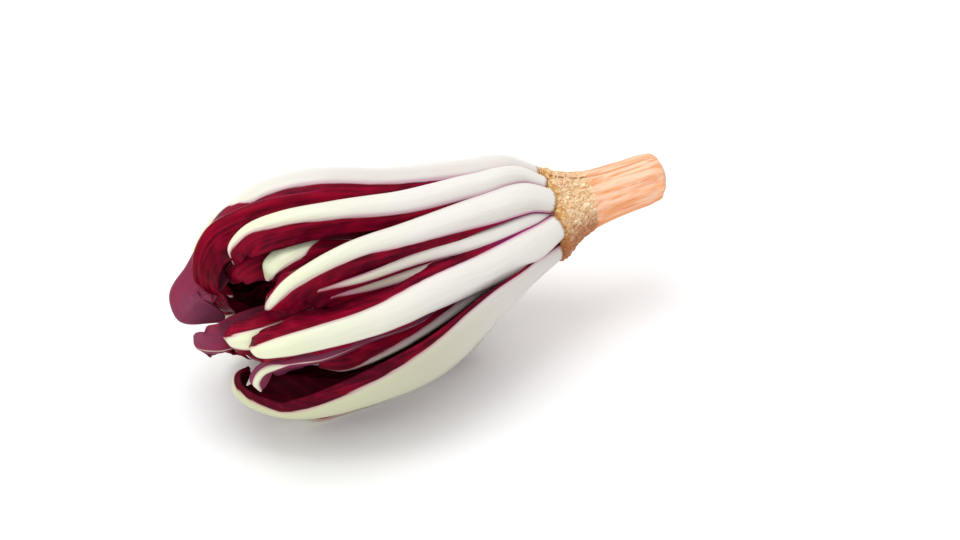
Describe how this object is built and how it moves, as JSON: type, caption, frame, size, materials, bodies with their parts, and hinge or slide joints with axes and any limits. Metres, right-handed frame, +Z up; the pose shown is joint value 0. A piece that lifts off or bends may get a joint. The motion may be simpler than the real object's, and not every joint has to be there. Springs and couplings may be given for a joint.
{
  "type": "radicchio head",
  "caption": "Late Treviso radicchio head on its trimmed taproot, long pale ribs edged with wine-red blades that curl in at the tips, lying on one side.",
  "frame": {"origin": "bottom centre of the bounding box, on the surface that the head lies on", "axes": "+X along the head towards the cut root end, +Z up from the surface, -Y towards the side with the open tips"},
  "size_m": [0.179, 0.082, 0.0811],
  "materials": {
    "leaf": "glossy wine-red blade with an ivory rib",
    "root": "matt scraped tan root"
  },
  "bodies": {
    "root": {"taproot": "root", "leaf_keel": "leaf", "leaf_flank": "leaf", "leaf_front": "leaf", "leaf_brow": "leaf", "leaf_crest": "leaf", "leaf_rest": "leaf", "leaf_under": "leaf", "leaf_back": "leaf", "leaf_nape": "leaf", "leaf_curl": "leaf", "leaf_slat": "leaf", "leaf_lath": "leaf", "leaf_streak": "leaf", "leaf_mid_a": "leaf", "leaf_mid_b": "leaf", "leaf_mid_c": "leaf", "leaf_mid_d": "leaf", "leaf_mid_e": "leaf", "leaf_fold": "leaf", "leaf_roll": "leaf", "leaf_wedge": "leaf", "leaf_flag": "leaf", "leaf_lapel": "leaf", "heart": "leaf"}
  },
  "joints": []
}
